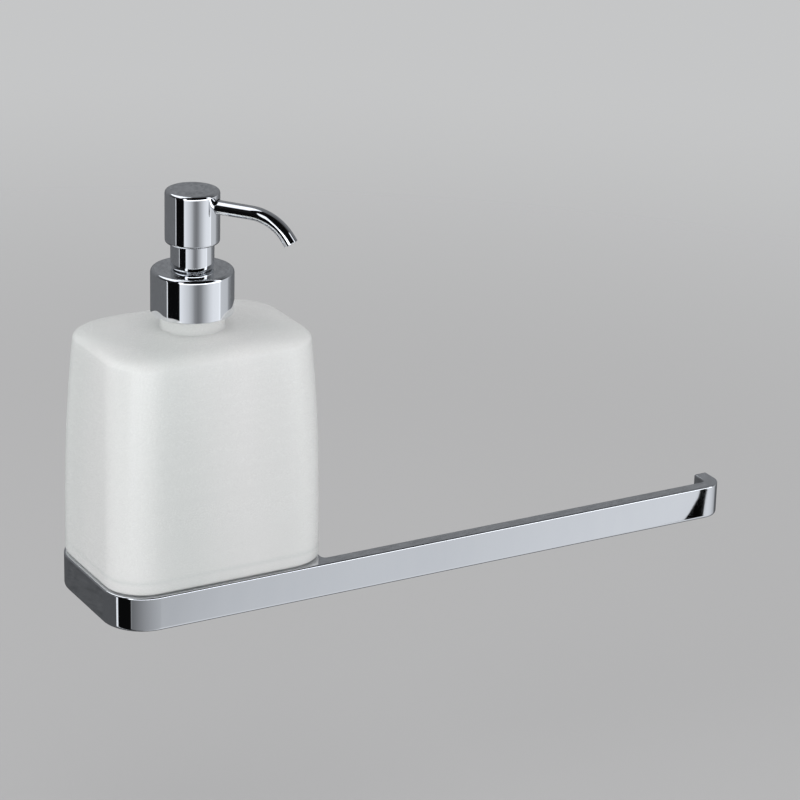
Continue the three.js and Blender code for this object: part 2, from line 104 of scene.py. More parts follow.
class Finish:
    """A material while it is put together, or a node tree that is there already. node() adds one node: its
    settings first, then the values or links of its sockets."""

    def __init__(self, name, tree=None):
        if tree is None:
            self.material = bpy.data.materials.new(name)
            self.material.use_nodes = True
            tree = self.material.node_tree
        self.tree = tree
        self.tree.nodes.clear()

    def node(self, kind, settings=None, sockets=None, output=0):
        made = self.tree.nodes.new("ShaderNode" + kind)
        for name, value in (settings or {}).items():
            if name == "stops":
                ramp = made.color_ramp.elements
                while len(ramp) < len(value):
                    ramp.new(1.0)
                for element, (position, colour) in zip(ramp, value):
                    element.position = position
                    element.color = colour
            else:
                setattr(made, name, value)
        for name, value in (sockets or {}).items():
            if isinstance(value, Socket):
                self.tree.links.new(value.output, made.inputs[name])
            else:
                made.inputs[name].default_value = value
        return Socket(self, made.outputs[output]) if made.outputs else None

    def place(self, stretch=(1, 1, 1)):
        """The object's own coordinates in metres, stretched along its axes."""
        own = self.node("TexCoord", output="Object")
        return self.node("Mapping", sockets={"Vector": own, "Scale": stretch})

    def maths(self, operation, first, second=0.0):
        return self.node("Math", {"operation": operation}, {0: first, 1: second})

    def grain(self, scale, detail=2.0, stretch=(1, 1, 1), rough=0.5):
        """Noise from 0 to 1 whose lumps are about 1 / scale metres across."""
        sockets = {"Vector": self.place(stretch), "Scale": scale, "Detail": detail, "Roughness": rough}
        return self.node("TexNoise", sockets=sockets)

    def between(self, factor, first, second):
        """A colour from first to second as the factor goes from 0 to 1."""
        ends = [part if isinstance(part, Socket) else (*part, 1) for part in (first, second)]
        return self.node("Mix", {"data_type": "RGBA"}, {0: factor, 6: ends[0], 7: ends[1]}, output=2)

    def relief(self, height, depth, strength=1.0):
        """The surface's normal with a relief of that depth in metres."""
        return self.node("Bump", sockets={"Height": height, "Distance": depth, "Strength": strength})

    def surface(self, **sockets):
        """Closes the material with its surface and returns it. The names are the shader's own, with _ for
        each space."""
        named = {name.replace("_", " "): value for name, value in sockets.items()}
        shader = self.node("BsdfPrincipled", sockets=named)
        self.node("OutputMaterial", sockets={"Surface": shader})
        return self.material


def nylon():
    """Moulded nylon: a little mottled, with a dull sheen."""
    paint = Finish("grey_nylon")
    cloud = paint.grain(300)
    return paint.surface(
        Base_Color=paint.between(cloud, (0.27, 0.28, 0.29), (0.36, 0.37, 0.38)),
        Roughness=0.45 + cloud * 0.2,
        Normal=paint.relief(paint.grain(2500), 0.00006),
    )


def rounded(mesh, edges, radius, segments=4):
    """Rounds edges of a bmesh by a radius in millimetres."""
    bmesh.ops.bevel(
        mesh, geom=edges, offset=radius, offset_type="OFFSET", segments=segments,
        profile=0.5, affect="EDGES", material=-1, clamp_overlap=False,
    )


def turned(section, steps=96, segments=4):
    """Spins a half section round the upright axis and closes it. Its points are (radius, height) in
    millimetres, with a third number where the ring is rounded by that radius."""
    mesh = bmesh.new()
    corners = [mesh.verts.new((point[0], 0, point[1])) for point in section]
    for start, end in zip(corners, corners[1:] + corners[:1]):
        if start.co.x > 0 or end.co.x > 0:
            mesh.edges.new((start, end))
    outline = mesh.verts[:] + mesh.edges[:]
    bmesh.ops.spin(
        mesh, geom=outline, cent=(0, 0, 0), axis=(0, 0, 1), dvec=(0, 0, 0),
        angle=2 * math.pi, steps=steps, use_merge=True,
    )
    bmesh.ops.remove_doubles(mesh, verts=mesh.verts[:], dist=1e-4)
    bmesh.ops.recalc_face_normals(mesh, faces=mesh.faces[:])
    for radius, height, rounding in [point for point in section if len(point) == 3]:
        ring = [
            edge for edge in mesh.edges
            if all(
                abs(end.co.z - height) < 1e-3 and abs(end.co.xy.length - radius) < 1e-3
                for end in edge.verts
            )
        ]
        rounded(mesh, ring, rounding, segments)
    return mesh


def moved(mesh, x=0, y=0, z=0):
    """Moves a mesh by millimetres and returns it."""
    bmesh.ops.translate(mesh, vec=(x, y, z), verts=mesh.verts[:])
    return mesh


def into_wall(mesh):
    """Lays an upright piece down, so that its top points into the wall."""
    lying = Matrix.Rotation(-math.pi / 2, 3, "X")
    bmesh.ops.rotate(mesh, cent=(0, 0, 0), matrix=lying, verts=mesh.verts[:])
    return mesh


def block(low, high):
    """A square block between two corners, in millimetres."""
    mesh = bmesh.new()
    bmesh.ops.create_cube(mesh, size=1)
    bmesh.ops.scale(mesh, vec=Vector(high) - Vector(low), verts=mesh.verts[:])
    return moved(mesh, *((Vector(low) + Vector(high)) / 2))


def cut_out(body, tools):
    """The body with the tools cut out of it. All are bmeshes: they are used up, and one comes back."""
    things = []
    for mesh in [body, *tools]:
        data = bpy.data.meshes.new("blank")
        mesh.to_mesh(data)
        mesh.free()
        thing = bpy.data.objects.new("blank", data)
        bpy.context.collection.objects.link(thing)
        things.append(thing)
    for tool in things[1:]:
        cut = things[0].modifiers.new("cut", "BOOLEAN")
        cut.object = tool
        cut.operation = "DIFFERENCE"
        cut.solver = "EXACT"
    shaped = things[0].evaluated_get(bpy.context.evaluated_depsgraph_get())
    result = bmesh.new()
    result.from_mesh(shaped.to_mesh())
    for thing in things:
        data = thing.data
        bpy.data.objects.remove(thing)
        bpy.data.meshes.remove(data)
    return result


def finished(name, mesh, material, crease=32):
    """The finished piece as an object in metres, shaded smooth up to a crease in degrees."""
    bmesh.ops.scale(mesh, vec=(0.001, 0.001, 0.001), verts=mesh.verts[:])
    for face in mesh.faces:
        face.smooth = True
    for edge in mesh.edges:
        edge.smooth = edge.calc_face_angle(0) < math.radians(crease)
    data = bpy.data.meshes.new(name)
    mesh.to_mesh(data)
    mesh.free()
    data.materials.append(material)
    piece = bpy.data.objects.new(name, data)
    bpy.context.collection.objects.link(piece)
    even = piece.modifiers.new("even_shading", "WEIGHTED_NORMAL")
    even.keep_sharp = True
    return piece


def box_of(node):
    """Lowest and highest corner of a CAD node, in millimetres."""
    low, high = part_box(node)
    return low * 1000, high * 1000


sides = ("left", "right")
nylon_finish = nylon()
plug_wall, barb_depth, barb_pitch, collar_length = 1.2, 0.6, 4, 5
slit_width, slit_start = 1, 9
for side in sides:
    low, high = box_of("wall_plug_" + side)
    plug_radius = (high.x - low.x) / 2
    plug_length = high.y - low.y
    plug_bore = plug_radius - plug_wall
    root = plug_radius - barb_depth
    barbs = [(plug_radius, 0, 0.3), (plug_radius, collar_length)]
    for barb in range(6):
        start = collar_length + barb * barb_pitch
        barbs += [(root, start + barb_depth), (plug_radius, start + barb_pitch)]
    plug = turned([(plug_bore, 0), *barbs, (root, plug_length, 0.2), (plug_bore, plug_length)], 48)
    slit = block(
        (-slit_width / 2, -plug_radius - 1, slit_start), (slit_width / 2, plug_radius + 1, plug_length + 1)
    )
    plug = cut_out(plug, [slit])
    plug = moved(into_wall(plug), (low.x + high.x) / 2, low.y)
    plug = finished("plug_" + side, plug, nylon_finish)
    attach(plug, "bracket")
    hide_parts("wall_plug_" + side)


# ---- Mounting plate ----
# Stamped steel plate that lies on the wall. It is brushed along its length, and its two holes are countersunk
# so that the screws end flush under the block.


def brushed_steel(name, stretch, colour=(0.6, 0.61, 0.62)):
    """Steel with fine brush marks across the stretched direction."""
    paint = Finish(name)
    marks = paint.grain(900, 3, stretch, 0.6)
    cloud = paint.grain(120)
    darker = tuple(0.86 * part for part in colour)
    return paint.surface(
        Base_Color=paint.between(cloud, darker, colour),
        Metallic=1.0,
        Roughness=0.2 + marks * 0.22,
        Normal=paint.relief(marks, 0.00003, 0.6),
    )


def plate_of(low, high, corner, edge):
    """A plate that stands on the wall, with round corners and soft edges."""
    mesh = block(low, high)
    upright = [e for e in mesh.edges if abs(e.verts[0].co.y - e.verts[1].co.y) > 1]
    rounded(mesh, upright, corner, 8)
    front = [e for e in mesh.edges if all(abs(end.co.y - low[1]) < 1e-3 for end in e.verts)]
    rounded(mesh, front, edge, 3)
    return mesh


def countersunk_hole(bore, flare):
    """The cutter for a countersunk screw that points into the wall from y = 0."""
    mouth = bore + flare
    section = [(0, -1), (mouth, -1), (mouth, 0.3), (bore, flare + 0.3), (bore, 30), (0, 30)]
    return into_wall(turned(section, 48))


plate_low, plate_high = box_of("mounting_plate")
wall_screw_box = box_of("wall_screw_right")
wall_screw_x = (wall_screw_box[0].x + wall_screw_box[1].x) / 2
screw_hole, screw_flare = 2.3, 2.1
plate = plate_of(plate_low, plate_high, 3, 0.4)
holes = [
    moved(countersunk_hole(screw_hole, screw_flare), way * wall_screw_x, plate_low.y) for way in (-1, 1)
]
plate = finished("plate", cut_out(plate, holes), brushed_steel("plate_steel", (0.06, 1, 1)))
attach(plate, "bracket")
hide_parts("mounting_plate")


# ---- Wall screws ----
# Countersunk chipboard screws through the plate into the plugs. Rolled thread, pressed cross recess,
# zinc plated.


def countersunk_screw(shank, flare, length, pitch):
    """A countersunk screw along +Z with its head's face at z = 0, a cross recess and a thread."""
    head = shank + flare
    core = 0.75 * shank
    plain = 0.3 * length
    body = turned(
        [(0, 0), (head, 0, 0.15), (shank, flare), (shank, plain, 0.2), (core, plain + 1),
         (core, length - 2 * core, 0.3), (0, length)],
        48, 2,
    )
    arm, arm_width, arm_depth = 0.72 * shank, 0.2 * shank, 1.1 * shank
    arms = [
        block((-arm, -arm_width, -1), (arm, arm_width, arm_depth)),
        block((-arm_width, -arm, -1), (arm_width, arm, arm_depth)),
    ]
    screw = cut_out(body, arms)
    ridge = [
        screw.verts.new((radius, 0, plain + 1.2 + rise))
        for radius, rise in ((core - 0.1, -0.3 * pitch), (shank, 0), (core - 0.1, 0.3 * pitch))
    ]
    loop = [screw.edges.new(pair) for pair in zip(ridge, ridge[1:] + ridge[:1])]
    screw.faces.new(ridge)
    turns = (0.7 * length - 2 * core - 2) / pitch
    steps = round(24 * turns)
    spun = bmesh.ops.spin(
        screw, geom=ridge + loop, cent=(0, 0, 0), axis=(0, 0, 1), dvec=(0, 0, pitch * turns / steps),
        angle=2 * math.pi * turns, steps=steps,
    )
    screw.faces.new([part for part in spun["geom_last"] if isinstance(part, bmesh.types.BMVert)])
    bmesh.ops.recalc_face_normals(screw, faces=screw.faces[:])
    return screw


screw_steel = brushed_steel("screw_steel", (1, 1, 1), (0.62, 0.63, 0.64))
screw_shank = 2
for side in sides:
    low, high = box_of("wall_screw_" + side)
    screw = countersunk_screw(screw_shank, (high.x - low.x) / 2 - screw_shank, high.y - low.y, 1.8)
    screw = moved(into_wall(screw), (low.x + high.x) / 2, low.y)
    screw = finished("fixing_screw_" + side, screw, screw_steel)
    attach(screw, "bracket")
    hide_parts("wall_screw_" + side)


# ---- Wall block ----
# Cast and chromed block that is pushed over the plate and hides it. A pocket at the back takes the plate,
# two threaded holes below take the grub screws, and two holes in front take the frame's screws.


def chrome():
    """Bright plating: a mirror, with faint wiping marks and the slight swell of polished metal."""
    paint = Finish("bright_chrome")
    wiping = paint.grain(140, 4, (1, 1, 0.35), 0.6)
    swell = paint.grain(45, 1)
    return paint.surface(
        Base_Color=paint.between(wiping, (0.86, 0.875, 0.9), (0.9, 0.91, 0.925)),
        Metallic=1.0,
        Roughness=0.015 + wiping * 0.03,
        Normal=paint.relief(swell, 0.00012, 0.2),
    )


chrome_finish = chrome()
block_low, block_high = box_of("wall_block")
holder = plate_of(block_low, block_high, 4, 0.7)
front_wall, fit_gap = 3.2, 0.3
pocket = plate_of(
    (plate_low.x - fit_gap, block_low.y + front_wall, plate_low.z - fit_gap),
    (plate_high.x + fit_gap, 1, plate_high.z + fit_gap),
    3.3, 0.3,
)
frame_screw_box = box_of("frame_screw_right")
frame_screw_x = (frame_screw_box[0].x + frame_screw_box[1].x) / 2
grub_box = box_of("lock_screw_right")
grub_x = (grub_box[0].x + grub_box[1].x) / 2
grub_y = (grub_box[0].y + grub_box[1].y) / 2
grub_hole = 1.8
for way in (-1, 1):
    bore = into_wall(turned([(0, -14), (screw_hole, -14), (screw_hole, 0), (0, 0)], 32))
    grub_bore = turned([(0, -22), (grub_hole, -22), (grub_hole, 0), (0, 0)], 32)
    holder = cut_out(holder, [moved(bore, way * frame_screw_x), moved(grub_bore, way * grub_x, grub_y)])
holder = cut_out(holder, [pocket])
holder = finished("holder_block", holder, chrome_finish)
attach(holder, "bracket")
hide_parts("wall_block")


# ---- Bracket: seat and towel rail ----
# One flat bar on edge, bent and welded to a seat for the bottle, then ground, polished and chromed.
# The upper edges are crisp and the lower ones softer from polishing.

bar_low, bar_high = box_of("bracket_frame")
bar, crossbar = 6.5, 4
seat_x = -bar_low.x - bar
cross_x = seat_x + crossbar
front_corner = 19
seat_corner = front_corner - bar
end_corner = 9
end_y = bar_low.y + 16
outer_left = [(bar_low.x, bar_high.y, front_corner), (bar_low.x, bar_low.y, front_corner)]
inner_left = [(-seat_x, bar_low.y + bar, seat_corner), (-seat_x, bar_high.y - bar, seat_corner)]
outer_right = [
    (bar_high.x, bar_low.y, end_corner), (bar_high.x, end_y, 0.5), (bar_high.x - bar, end_y, 0.5),
    (bar_high.x - bar, bar_low.y + bar, end_corner - bar), (cross_x, bar_low.y + bar, 2),
    (cross_x, bar_high.y, seat_corner + crossbar),
]
inner_right = [(seat_x, bar_high.y - bar, seat_corner), (seat_x, bar_low.y + bar, seat_corner)]
rail = bmesh.new()
seams = [
    rail.verts.new((0, y, bar_low.z))
    for y in (bar_high.y, bar_high.y - bar, bar_low.y + bar, bar_low.y)
]
bends = []
for outer, inner, order in ((outer_left, inner_left, (0, 3, 2, 1)), (outer_right, inner_right, (3, 0, 1, 2))):
    outer, inner = [
        [(rail.verts.new((x, y, bar_low.z)), radius) for x, y, radius in part] for part in (outer, inner)
    ]
    first, second, third, fourth = [seams[place] for place in order]
    outside_turns = [point for point, _ in outer]
    inside_turns = [point for point, _ in inner]
    rail.faces.new([first, *outside_turns, second, third, *inside_turns, fourth])
    bends += outer + inner
for point, radius in bends:
    bmesh.ops.bevel(
        rail, geom=[point], offset=radius, offset_type="OFFSET", segments=20 if radius > 5 else 8,
        profile=0.5, affect="VERTICES", material=-1, clamp_overlap=False,
    )
raised = bmesh.ops.extrude_face_region(rail, geom=rail.faces[:], use_keep_orig=True)["geom"]
bmesh.ops.translate(
    rail, vec=(0, 0, bar_high.z - bar_low.z),
    verts=[part for part in raised if isinstance(part, bmesh.types.BMVert)],
)
bmesh.ops.recalc_face_normals(rail, faces=rail.faces[:])
for height, radius in ((bar_high.z, 0.7), (bar_low.z, 1.6)):
    rim = [
        edge for edge in rail.edges
        if all(abs(end.co.z - height) < 1e-3 for end in edge.verts)
        and any(abs(face.normal.z) < 0.5 for face in edge.link_faces)
    ]
    rounded(rail, rim, radius, 4)
sinks = [
    moved(countersunk_hole(screw_hole, screw_flare), way * frame_screw_x, bar_high.y - bar)
    for way in (-1, 1)
]
rail = finished("seat_and_rail", cut_out(rail, sinks), chrome_finish)
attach(rail, "bracket")
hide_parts("bracket_frame")


# ---- Frame screws ----
# Two short countersunk machine screws, zinc plated. They go from inside the seat through the bar into the
# block's threaded holes.

for side in sides:
    low, high = box_of("frame_screw_" + side)
    screw = countersunk_screw(screw_shank, (high.x - low.x) / 2 - screw_shank, high.y - low.y, 0.7)
    screw = moved(into_wall(screw), (low.x + high.x) / 2, low.y)
    screw = finished("frame_bolt_" + side, screw, screw_steel)
    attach(screw, "bracket")
    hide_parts("frame_screw_" + side)


# ---- Grub screws ----
# Two small headless steel screws in the block's underside. Tightened with a hexagon key, they clamp it on
# the plate.

for side in sides:
    low, high = box_of("lock_screw_" + side)
    tall = high.z - low.z
    grub_radius, key_radius, tip_bevel = 1.5, 0.85, 0.6
    grub = turned(
        [(0, 0), (grub_radius, 0, 0.25), (grub_radius, tall - tip_bevel), (grub_radius - tip_bevel, tall),
         (0, tall)],
        48,
    )
    key = turned([(0, -1), (key_radius, -1), (key_radius, 2), (0, 2)], 6)
    grub = moved(cut_out(grub, [key]), (low.x + high.x) / 2, (low.y + high.y) / 2, low.z)
    grub = finished("grub_" + side, grub, screw_steel)
    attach(grub, "bracket")
    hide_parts("lock_screw_" + side)


# ---- Bottle ----
# Thick pressed glass, etched to a satin skin. Rectangular with soft upright edges and a rounded shoulder,
# a narrower foot that drops into the seat, and a round threaded neck. The walls are 3.5 mm.


def satin_glass(floor_height):
    """Acid-etched glass: milky, a little green, with lighter upright stripes painted into its colour as
    reflections of soft lamps, and a thin darker stripe of painted shade at the height of the inner floor,
    which is given in millimetres."""
    paint = Finish("satin_glass")
    # Lighter upright stripes painted into the colour: painted reflections of soft lamps in the satin skin.
    painted_reflection_bands = paint.grain(26, 1.0, (1, 1, 0.12))
    painted_reflection_bands = paint.node("MapRange", sockets={"Value": painted_reflection_bands, "From Min": 0.3, "From Max": 0.7})
    etch = paint.grain(5200, 2.0)
    own = paint.node("TexCoord", output="Object")
    height = paint.node("SeparateXYZ", sockets={0: own}, output="Z")
    away = paint.maths("ABSOLUTE", height - floor_height * 0.001)
    # A thin darker stripe of painted shade at the inner floor's height, standing in for the shade seen
    # through the thicker glass there.
    painted_floor_shade = paint.node("MapRange", sockets={"Value": away, "From Max": 0.0016, "To Min": 0.5, "To Max": 0})
    glass_and_painted_reflections = paint.between(painted_reflection_bands, (0.8, 0.83, 0.818), (0.95, 0.955, 0.95))
    return paint.surface(
        Base_Color=paint.between(painted_floor_shade, glass_and_painted_reflections, (0.72, 0.76, 0.75)),
        Roughness=0.24 + etch * 0.06,
        IOR=1.5,
        Transmission_Weight=0.15,
        Subsurface_Weight=0.55,
        Subsurface_Radius=(1, 1, 1),
        Subsurface_Scale=0.01,
        Sheen_Weight=0.3,
        Sheen_Roughness=0.3,
        Normal=paint.relief(etch, 0.00002, 0.15),
    )


bottle_low, bottle_high = box_of("bottle")
half_width = bottle_high.x
depth_less = half_width - (bottle_high.y - bottle_low.y) / 2
axis_y = (bottle_low.y + bottle_high.y) / 2
foot, rim = bottle_low.z, bottle_high.z
collar_z = box_of("collar_shell")[0].z
ledge = bar_high.z + 0.3
neck_top, neck_root = collar_z, collar_z - 6.7
neck_radius, finish_radius, neck_bore = 14, 12.6, 9.5
side_corner, crown_corner = 17, 28
draft, shoulder_reach, shoulder_rise, neck_dish = 2.6, 9.5, 4.6, 0.8
crown = half_width - draft - shoulder_reach
shoulder = neck_root - neck_dish - shoulder_rise
foot_half = seat_x - 0.8
foot_recess = 0.7 * foot_half
inner_floor = ledge + 6
foot_floor = foot + 5
glass = 3.5


def outline_reach(angle, x):
    """How far the bottle's outline of half width x reaches at an angle: round at the neck, and a rectangle
    with round corners further out."""
    if x <= neck_radius:
        return x
    if x >= crown:
        y = x - depth_less
        corner = crown_corner + (side_corner - crown_corner) * (x - crown) / (half_width - crown)
    else:
        share = (x - neck_radius) / (crown - neck_radius)
        y = neck_radius + share * (crown - depth_less - neck_radius)
        corner = neck_radius + share * (crown_corner - neck_radius)
    corner = min(corner, x, y)
    dx, dy = abs(math.cos(angle)), abs(math.sin(angle))
    side_x, side_y = x - corner, y - corner
    if dy * x <= side_y * dx:
        return x / dx
    if dx * y <= side_x * dy:
        return y / dy
    along = dx * side_x + dy * side_y
    return along + math.sqrt(along * along - side_x**2 - side_y**2 + corner**2)


def flank(inset, steps):
    """The side of the bottle up to the shoulder, leaning in more and more."""
    start = ledge + 2.5
    return [
        (half_width - inset - draft * (step / steps) ** 2.6, start + (shoulder - start) * step / steps)
        for step in range(1, steps + 1)
    ]


def shoulder_curve(inset, steps=10):
    """The quarter round from the side up to the crown."""
    return [
        (crown + (shoulder_reach - inset) * math.cos(turn),
         shoulder + (shoulder_rise - inset) * math.sin(turn))
        for turn in [math.pi / 2 * step / steps for step in range(1, steps + 1)]
    ]


crown_z = shoulder + shoulder_rise
crown_rings = [
    (crown + (neck_radius + 2 - crown) * part, crown_z + neck_dish * part**1.5)
    for part in (0.2, 0.4, 0.6, 0.8, 1)
]
outside = [
    (0, foot + 1), (foot_recess, foot + 1, 0.8), (foot_recess + 2, foot, 0.8), (foot_half, foot, 2),
    (foot_half, ledge, 0.5), (half_width, ledge, 1.6), *flank(0, 12), *shoulder_curve(0), *crown_rings,
    (neck_radius, neck_root, 0.7), (neck_radius, neck_top, 0.3), (finish_radius, neck_top + 0.4),
    (finish_radius, rim, 0.6),
]
inside = [
    (neck_bore, rim, 0.6), (neck_bore, neck_root - 2, 1.5), (neck_bore + 5, crown_z - glass + 0.6),
    *reversed(shoulder_curve(glass)), *reversed(flank(glass, 6)), (half_width - glass, inner_floor, 2),
    (foot_half - glass, ledge + 0.5, 1), (foot_half - glass, foot_floor + 4, 1.5),
    (foot_half - glass - 4, foot_floor, 1.5), (0, foot_floor),
]
bottle = turned(outside + inside, 192)
for point in bottle.verts:
    distance = point.co.xy.length
    if distance > neck_radius:
        stretch = outline_reach(math.atan2(point.co.y, point.co.x), distance) / distance
        point.co.x *= stretch
        point.co.y *= stretch
bottle = finished("glass_bottle", moved(bottle, 0, axis_y), satin_glass(inner_floor), 40)
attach(bottle, "bottle_body")
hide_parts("bottle")


# ---- Neck gasket ----
# Moulded rubber ring that lies on the bottle's rim and seals the pump's flange.


def rubber():
    """Black rubber with bloom in cloudy patches."""
    paint = Finish("dark_rubber")
    bloom = paint.grain(400)
    return paint.surface(
        Base_Color=paint.between(bloom, (0.035, 0.035, 0.038), (0.07, 0.07, 0.072)),
        Roughness=0.65 + bloom * 0.2,
        Normal=paint.relief(paint.grain(3000), 0.00004),
    )


def on_pump(mesh):
    """Puts a piece that is turned round the origin on the pump's axis."""
    return moved(mesh, 0, axis_y)


gasket_low, gasket_high = box_of("neck_gasket")
gasket_bore = 8.3
gasket = turned([
    (gasket_bore, gasket_low.z, 0.3), (finish_radius, gasket_low.z, 0.4),
    (finish_radius, gasket_high.z, 0.4), (gasket_bore, gasket_high.z, 0.3),
])
gasket = finished("seal_ring", on_pump(gasket), rubber())
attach(gasket, "seal")
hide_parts("neck_gasket")


# ---- Pump body and dip tube ----
# Injection moulded cylinder of natural polypropylene that hangs in the neck by its flange. The valve seat
# and the socket for the dip tube are moulded at its foot, and the extruded tube is cut off at a slant.


def natural_plastic():
    """Uncoloured polypropylene: waxy and half clear."""
    paint = Finish("natural_plastic")
    cloud = paint.grain(220)
    return paint.surface(
        Base_Color=paint.between(cloud, (0.8, 0.84, 0.86), (0.87, 0.9, 0.91)),
        Roughness=0.2 + cloud * 0.12,
        IOR=1.49,
        Transmission_Weight=0.55,
        Normal=paint.relief(paint.grain(900), 0.00004, 0.5),
    )


natural_finish = natural_plastic()
body_low, body_high = box_of("pump_housing")
tube_low, tube_high = box_of("dip_tube")
valve_z = tube_high.z + 0.3
cylinder_radius, cylinder_bore, flange_radius, flange_z = 8, 6.6, 13.2, body_high.z - 1.5
socket_radius, socket_bore, cage_bore, inlet_bore = 4.6, 3.3, 2.9, 1.2
body = turned([
    (socket_bore, body_low.z, 0.3), (socket_radius, body_low.z, 0.4), (socket_radius, valve_z + 3, 0.8),
    (cylinder_radius, valve_z + 7, 1), (cylinder_radius, flange_z, 0.4), (flange_radius, flange_z, 0.3),
    (flange_radius, body_high.z, 0.3), (cylinder_bore, body_high.z, 0.4), (cylinder_bore, valve_z + 8, 0.6),
    (cage_bore, valve_z + 5, 0.4), (cage_bore, valve_z + 3), (inlet_bore, valve_z + 1),
    (inlet_bore, valve_z), (socket_bore, valve_z),
], 96, 3)
body = finished("pump_cylinder", on_pump(body), natural_finish)
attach(body, "pump_body")
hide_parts("pump_housing")

tube_radius, tube_bore = 3, 2
dip = turned([
    (tube_bore, tube_low.z), (tube_radius, tube_low.z), (tube_radius, tube_high.z), (tube_bore, tube_high.z),
], 64)
bmesh.ops.bisect_plane(
    dip, geom=dip.verts[:] + dip.edges[:] + dip.faces[:], plane_co=(tube_radius, 0, tube_low.z),
    plane_no=(0.75, 0, 1), clear_inner=True,
)
bmesh.ops.bridge_loops(dip, edges=[edge for edge in dip.edges if edge.is_boundary])
bmesh.ops.recalc_face_normals(dip, faces=dip.faces[:])
dip = finished("suction_tube", on_pump(dip), natural_finish)
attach(dip, "pump_body")
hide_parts("dip_tube")


# ---- Check balls and spring ----
# Two stainless balls close the inlet and the outlet, and a coiled spring of 1 mm stainless wire lifts the
# plunger. The spring's end coils lie flat.


def stainless():
    """Drawn stainless steel, bright but not a mirror."""
    paint = Finish("bright_stainless")
    marks = paint.grain(700, 3)
    return paint.surface(
        Base_Color=paint.between(marks, (0.62, 0.63, 0.64), (0.72, 0.73, 0.74)),
        Metallic=1.0,
        Roughness=0.14 + marks * 0.1,
        Normal=paint.relief(marks, 0.00001, 0.5),
    )


stainless_finish = stainless()
for name, body_name in (("inlet", "inlet_valve"), ("outlet", "outlet_valve")):
    low, high = box_of(name + "_ball")
    ball = bmesh.new()
    bmesh.ops.create_icosphere(ball, subdivisions=4, radius=(high.z - low.z) / 2)
    ball = finished(name + "_bead", moved(ball, 0, axis_y, (low.z + high.z) / 2), stainless_finish, 60)
    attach(ball, body_name)
    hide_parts(name + "_ball")

coil_low, coil_high = box_of("return_spring")
wire = 0.5
coil_radius = (coil_high.x - coil_low.x) / 2 - wire
coil = bmesh.new()
coil_end = bmesh.ops.create_circle(coil, segments=12, radius=wire, cap_ends=False)["verts"]
bmesh.ops.rotate(coil, cent=(0, 0, 0), matrix=Matrix.Rotation(math.pi / 2, 3, "X"), verts=coil_end)
bmesh.ops.translate(coil, vec=(coil_radius, 0, coil_low.z + wire), verts=coil_end)
coil.faces.new(coil_end)
for turns, climb in ((1, 0), (5, coil_high.z - coil_low.z - 2 * wire), (1, 0)):
    steps = 40 * turns
    edges = [edge for edge in coil.edges if all(end in coil_end for end in edge.verts)]
    spun = bmesh.ops.spin(
        coil, geom=coil_end + edges, cent=(0, 0, 0), axis=(0, 0, 1), dvec=(0, 0, climb / steps),
        angle=2 * math.pi * turns, steps=steps,
    )
    coil_end = [part for part in spun["geom_last"] if isinstance(part, bmesh.types.BMVert)]
coil.faces.new(coil_end)
bmesh.ops.recalc_face_normals(coil, faces=coil.faces[:])
coil = finished("wire_spring", on_pump(coil), stainless_finish, 60)
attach(coil, "pump_body")
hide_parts("return_spring")
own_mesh(coil)


# ---- Piston, stem and guide cap ----
# White moulded parts: a lipped piston that is clipped on the hollow stem, and the cap that is pressed into
# the cylinder's mouth and guides the stem.


def white_plastic():
    """White moulded plastic with a fine spark-eroded skin."""
    paint = Finish("white_plastic")
    cloud = paint.grain(160)
    return paint.surface(
        Base_Color=paint.between(cloud, (0.8, 0.8, 0.785), (0.86, 0.86, 0.845)),
        Roughness=0.36 + cloud * 0.12,
        Normal=paint.relief(paint.grain(3200), 0.00003, 0.6),
    )


white_finish = white_plastic()
piston_low, piston_high = box_of("piston")
stem_low, stem_high = box_of("stem")
cap_low, cap_high = box_of("housing_cap")
stem_radius, stem_bore, stem_foot, outlet_bore = 3.6, 2.2, 5, 1.2
slide_bore = stem_radius + 0.3
lip_radius, piston_waist, piston_end = cylinder_bore - 0.3, 5.4, 5.6
piston = turned([
    (slide_bore, piston_low.z), (piston_end, piston_low.z, 0.3), (lip_radius, piston_low.z + 1, 0.3),
    (lip_radius, piston_low.z + 1.8, 0.3), (piston_waist, piston_low.z + 2.8, 0.6),
    (piston_waist, piston_high.z - 2.8, 0.6), (lip_radius, piston_high.z - 1.8, 0.3),
    (lip_radius, piston_high.z - 0.4, 0.3), (piston_end, piston_high.z, 0.2), (slide_bore, piston_high.z),
], 96, 3)
seat_z = stem_low.z + 2
foot_z = piston_low.z - 0.3
stem = turned([
    (outlet_bore, stem_low.z), (stem_foot, stem_low.z, 0.4), (stem_foot, foot_z, 0.4),
    (stem_radius, foot_z, 0.3), (stem_radius, stem_high.z, 0.4), (stem_bore, stem_high.z, 0.3),
    (stem_bore, seat_z + 1), (outlet_bore, seat_z),
], 96, 3)
closure_z = box_of("closure_insert")[1].z
cap_z = body_high.z + 0.3
cap_radius, cap_neck = 8, 6
cap = turned([
    (slide_bore, cap_low.z, 0.3), (lip_radius, cap_low.z, 0.4), (lip_radius, cap_z), (cap_radius, cap_z, 0.3),
    (cap_radius, closure_z, 0.5), (cap_neck, closure_z, 0.3), (cap_neck, cap_high.z, 0.4),
    (slide_bore, cap_high.z, 0.3),
], 96, 3)
for name, mesh, body_name, node in (
    ("piston_seal", piston, "plunger", "piston"),
    ("hollow_stem", stem, "plunger", "stem"),
    ("guide_cap", cap, "pump_body", "housing_cap"),
):
    part = finished(name, on_pump(mesh), white_finish)
    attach(part, body_name)
    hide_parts(node)


# ---- Closure and collar ----
# A moulded closure screws on the neck, and a drawn, chromed brass collar is pressed over it. The collar's
# top edge is drawn to a radius, and its lower edge is turned off square.

